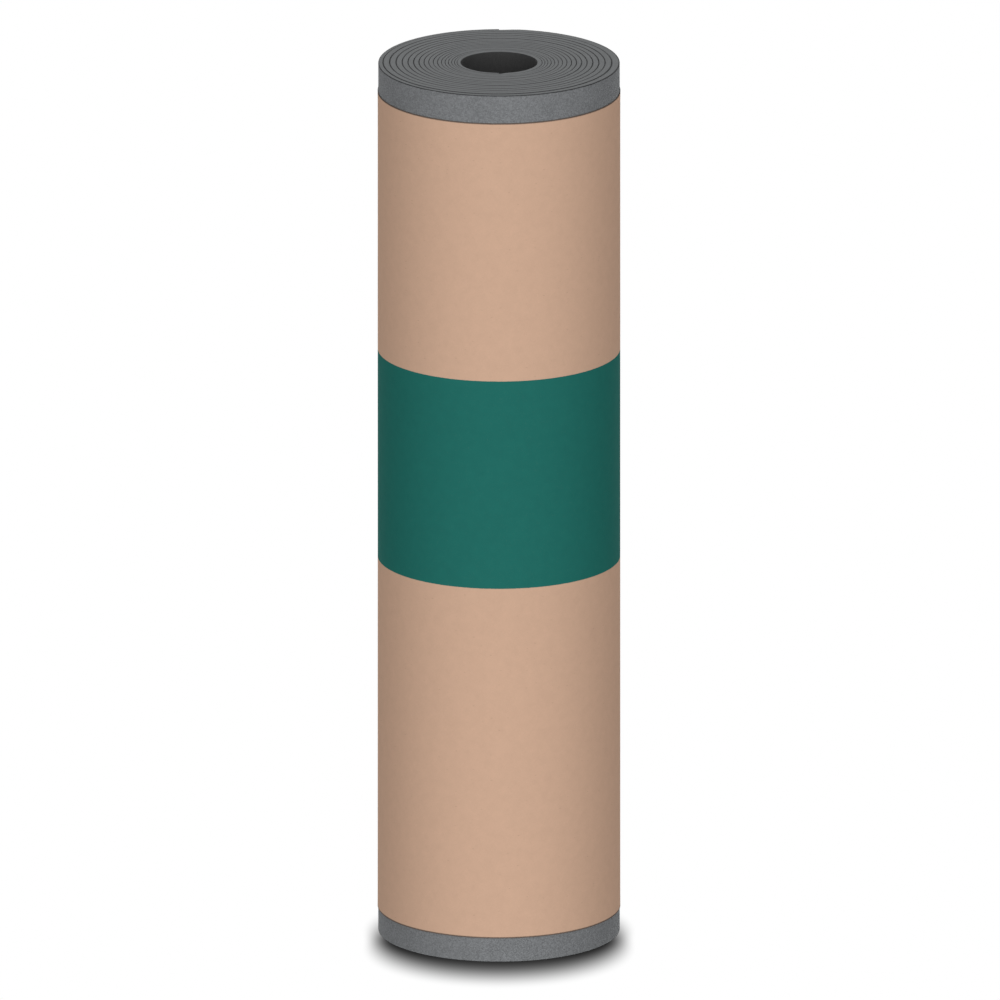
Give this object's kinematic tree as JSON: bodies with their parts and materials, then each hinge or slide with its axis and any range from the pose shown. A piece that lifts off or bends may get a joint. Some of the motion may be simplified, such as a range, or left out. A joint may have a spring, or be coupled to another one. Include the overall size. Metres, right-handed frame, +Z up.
{
  "type": "roll of roofing felt",
  "caption": "Standing roll of grey mineral-surfaced roofing felt with an open bore and its wound turns showing on both ends, in a kraft paper wrapper with a green printed band.",
  "frame": {"origin": "middle of the roll's lower end, on the floor it stands on", "axes": "+Z up along the roll's axis; the front that the picture shows faces -Y, and the cut ends of sheet and paper are at +Y"},
  "size_m": [0.246, 0.2462, 0.9144],
  "materials": {
    "mineral_felt": "matte",
    "kraft_paper": "matte"
  },
  "bodies": {
    "root": {"roofing_roll": "mineral_felt", "paper_wrapper": "kraft_paper"}
  },
  "joints": []
}
